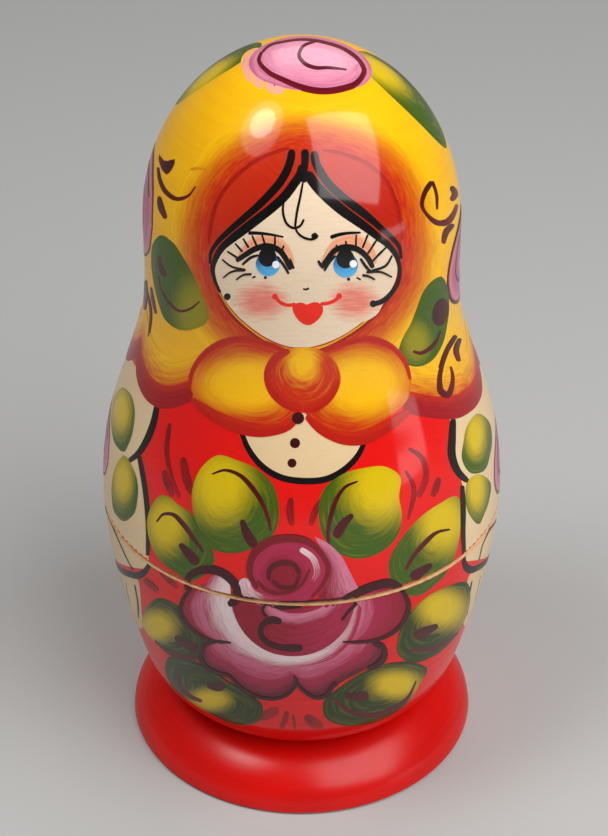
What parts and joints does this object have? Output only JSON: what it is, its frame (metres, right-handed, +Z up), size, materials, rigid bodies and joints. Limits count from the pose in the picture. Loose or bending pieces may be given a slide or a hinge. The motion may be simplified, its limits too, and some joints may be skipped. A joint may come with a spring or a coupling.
{
  "type": "nesting doll",
  "caption": "Turned wooden nesting doll on a flared foot. It pulls apart at the belly, and smaller painted dolls stand one inside the other.",
  "frame": {"origin": "middle of the foot's underside, on the table", "axes": "+Z up along the turning axis, the face looks towards -Y, +X to the right as seen from in front"},
  "size_m": [0.062, 0.062, 0.1165],
  "materials": {
    "skirt_paint": "painted and lacquered, gloss",
    "scarf_paint": "painted and lacquered, gloss",
    "smallest_paint": "painted and lacquered, gloss"
  },
  "bodies": {
    "outer_lower": {"outer_lower": "skirt_paint"},
    "doll_2_lower": {"doll_2_lower": "skirt_paint"},
    "doll_3_lower": {"doll_3_lower": "skirt_paint"},
    "doll_4_lower": {"doll_4_lower": "skirt_paint"},
    "doll_5": {"doll_5": "smallest_paint"},
    "doll_4_upper": {"doll_4_upper": "scarf_paint"},
    "doll_3_upper": {"doll_3_upper": "scarf_paint"},
    "doll_2_upper": {"doll_2_upper": "scarf_paint"},
    "outer_upper": {"outer_upper": "scarf_paint"}
  },
  "joints": [
    {"name": "doll_2_lift_out", "type": "slide", "parent": "outer_lower", "child": "doll_2_lower", "axis": [0, 0, 1], "range_m": [0, 0.055]},
    {"name": "doll_3_lift_out", "type": "slide", "parent": "doll_2_lower", "child": "doll_3_lower", "axis": [0, 0, 1], "range_m": [0, 0.045]},
    {"name": "doll_4_lift_out", "type": "slide", "parent": "doll_3_lower", "child": "doll_4_lower", "axis": [0, 0, 1], "range_m": [0, 0.036]},
    {"name": "doll_5_lift_out", "type": "slide", "parent": "doll_4_lower", "child": "doll_5", "axis": [0, 0, 1], "range_m": [0, 0.028]},
    {"name": "doll_4_pull_off", "type": "slide", "parent": "doll_5", "child": "doll_4_upper", "axis": [0, 0, 1], "range_m": [0, 0.03]},
    {"name": "doll_3_pull_off", "type": "slide", "parent": "doll_4_upper", "child": "doll_3_upper", "axis": [0, 0, 1], "range_m": [0, 0.04]},
    {"name": "doll_2_pull_off", "type": "slide", "parent": "doll_3_upper", "child": "doll_2_upper", "axis": [0, 0, 1], "range_m": [0, 0.052]},
    {"name": "outer_pull_off", "type": "slide", "parent": "doll_2_upper", "child": "outer_upper", "axis": [0, 0, 1], "range_m": [0, 0.065]}
  ]
}
